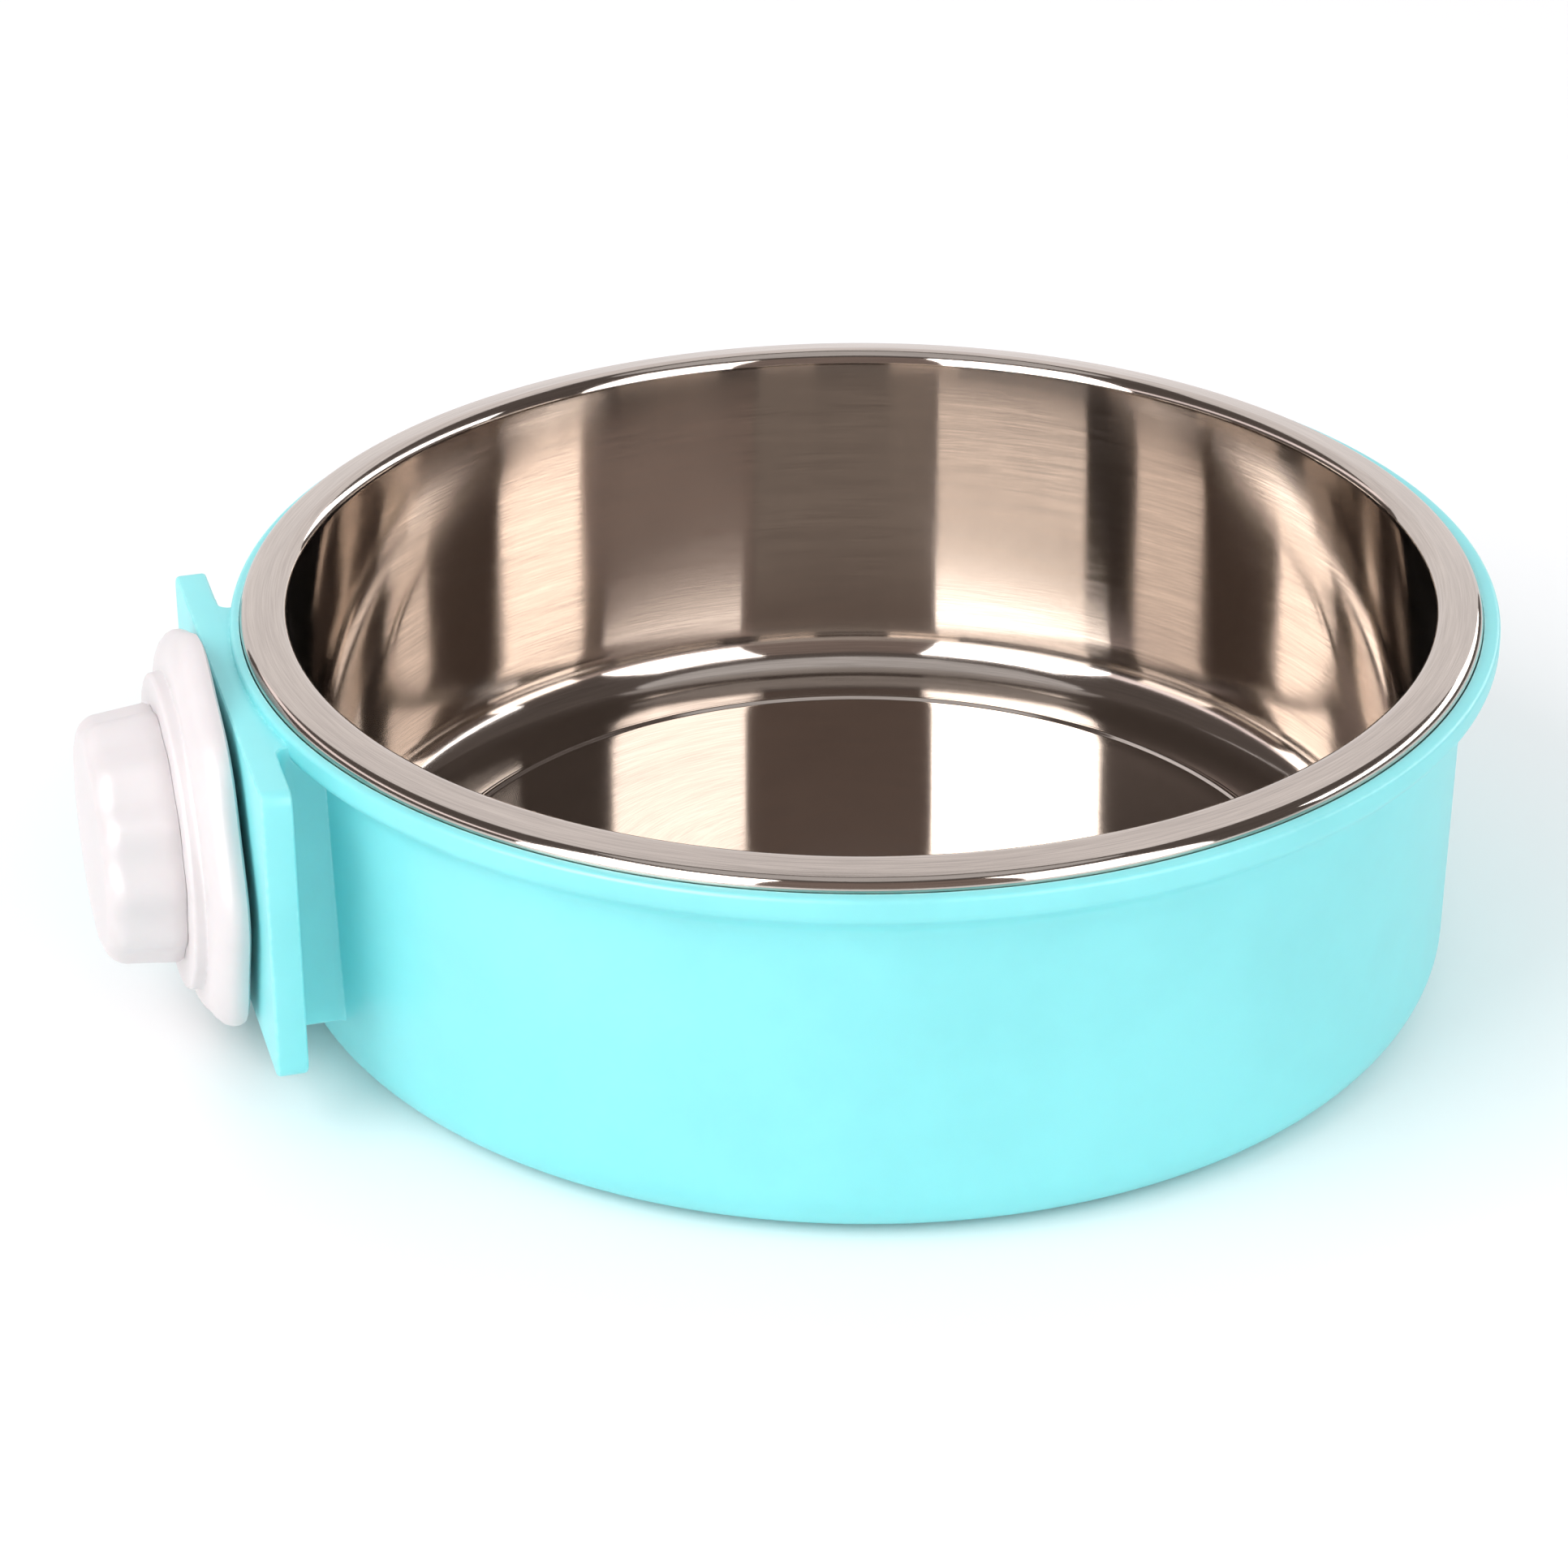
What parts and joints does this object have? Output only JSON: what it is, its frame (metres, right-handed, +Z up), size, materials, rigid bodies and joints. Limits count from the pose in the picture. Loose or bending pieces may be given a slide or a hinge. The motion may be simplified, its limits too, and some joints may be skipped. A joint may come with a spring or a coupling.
{
  "type": "clamp-on cage bowl",
  "caption": "Round food bowl for a cage: plastic holder with a bracket plate, lift-out steel liner, and a screw clamp whose disc and knob grip the cage wires.",
  "frame": {"origin": "centre of the holder's flat underside", "axes": "+Z up through the bowl's axis, -X from the bowl towards the bracket and clamp, Y across the bracket plate"},
  "size_m": [0.1574, 0.14, 0.0471],
  "materials": {
    "aqua_plastic": "moulded polypropylene, smooth satin gloss",
    "liner_steel": "bright drawn stainless sheet, fine rings round the wall, polished rim and floor",
    "white_plastic": "moulded white plastic, satin",
    "fastener_steel": "zinc plated"
  },
  "bodies": {
    "holder": {"holder_bowl": "aqua_plastic", "clamp_bolt": "fastener_steel"},
    "liner": {"steel_bowl": "liner_steel"},
    "disc": {"clamp_disc": "white_plastic"},
    "knob": {"clamp_knob": "white_plastic", "knob_nut": "fastener_steel"}
  },
  "joints": [
    {"name": "liner_lift", "type": "slide", "parent": "holder", "child": "liner", "axis": [0, 0, 1], "range_m": [0, 0.06]},
    {"name": "disc_slide", "type": "slide", "parent": "holder", "child": "disc", "axis": [-1, 0, 0], "range_m": [-0.0005, 0.004]},
    {"name": "knob_turn", "type": "hinge", "parent": "disc", "child": "knob", "pos_m": [-0.0793, 0, 0.0247], "axis": [-1, 0, 0], "range_deg": [-180, 1440]}
  ],
  "couplings": [
    {"joint": "disc_slide", "follows": "knob_turn", "m_per_rad": 0.00015915}
  ]
}
